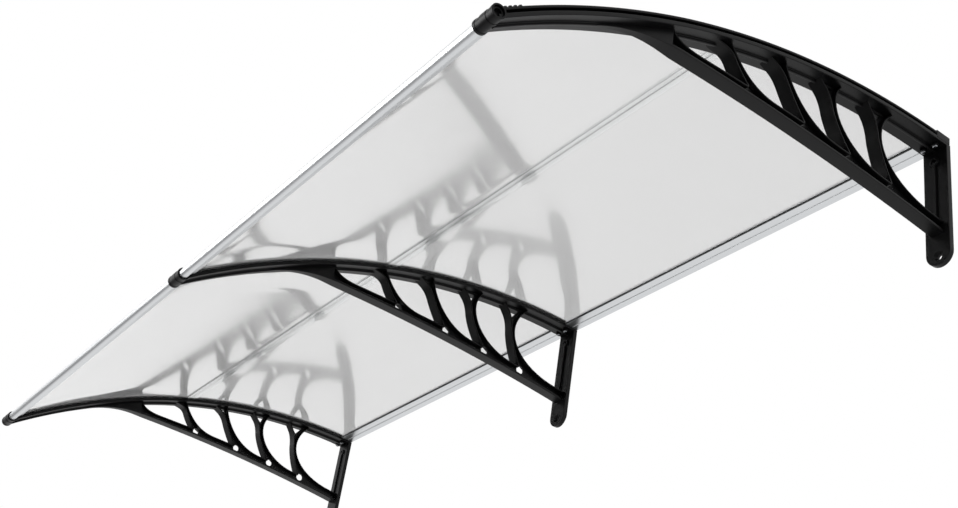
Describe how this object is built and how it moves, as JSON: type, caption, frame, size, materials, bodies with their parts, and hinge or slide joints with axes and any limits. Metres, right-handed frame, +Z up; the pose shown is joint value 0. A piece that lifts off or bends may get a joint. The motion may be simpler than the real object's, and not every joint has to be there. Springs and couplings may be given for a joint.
{
  "type": "door canopy",
  "caption": "Arched door canopy for fixing to a wall: pierced moulded brackets carry clear curved sheets, held by clear joint strips, cover strips and extruded front and rear bars.",
  "frame": {"origin": "on the back of the middle bracket's wall leg, on its centre line and halfway up it, in the wall plane", "axes": "+X along the wall, to the right seen from the front; +Y into the wall; +Z up"},
  "size_m": [2.048, 0.902, 0.2861],
  "materials": {
    "black_plastic": "black moulded polypropylene, fine grain",
    "clear_sheet": "translucent white polycarbonate, glossy",
    "clear_strip": "clear extruded polycarbonate, glossy",
    "aluminium": "extruded, satin anodised",
    "seal_rubber": "black, matt",
    "screw_steel": "zinc plated"
  },
  "bodies": {
    "root": {"bar_screw_left_a": "screw_steel", "bar_screw_left_b": "screw_steel", "bar_screw_middle_a": "screw_steel", "bar_screw_middle_b": "screw_steel", "bar_screw_right_a": "screw_steel", "bar_screw_right_b": "screw_steel", "bracket_left": "black_plastic", "bracket_middle": "black_plastic", "bracket_right": "black_plastic", "collar_plug_left": "black_plastic", "collar_plug_right": "black_plastic", "cover_strip_left": "black_plastic", "cover_strip_middle": "black_plastic", "cover_strip_right": "black_plastic", "front_bar_left": "aluminium", "front_bar_right": "aluminium", "joint_strip_left": "clear_strip", "joint_strip_right": "clear_strip", "rear_bar_left": "aluminium", "rear_bar_right": "aluminium", "rear_seal_left": "seal_rubber", "rear_seal_right": "seal_rubber", "rear_stop_left": "black_plastic", "rear_stop_right": "black_plastic", "sheet_front_left": "clear_sheet", "sheet_front_right": "clear_sheet", "sheet_rear_left": "clear_sheet", "sheet_rear_right": "clear_sheet", "strip_screw_left_1": "screw_steel", "strip_screw_left_2": "screw_steel", "strip_screw_left_3": "screw_steel", "strip_screw_left_4": "screw_steel", "strip_screw_middle_1": "screw_steel", "strip_screw_middle_2": "screw_steel", "strip_screw_middle_3": "screw_steel", "strip_screw_middle_4": "screw_steel", "strip_screw_right_1": "screw_steel", "strip_screw_right_2": "screw_steel", "strip_screw_right_3": "screw_steel", "strip_screw_right_4": "screw_steel"}
  },
  "joints": []
}
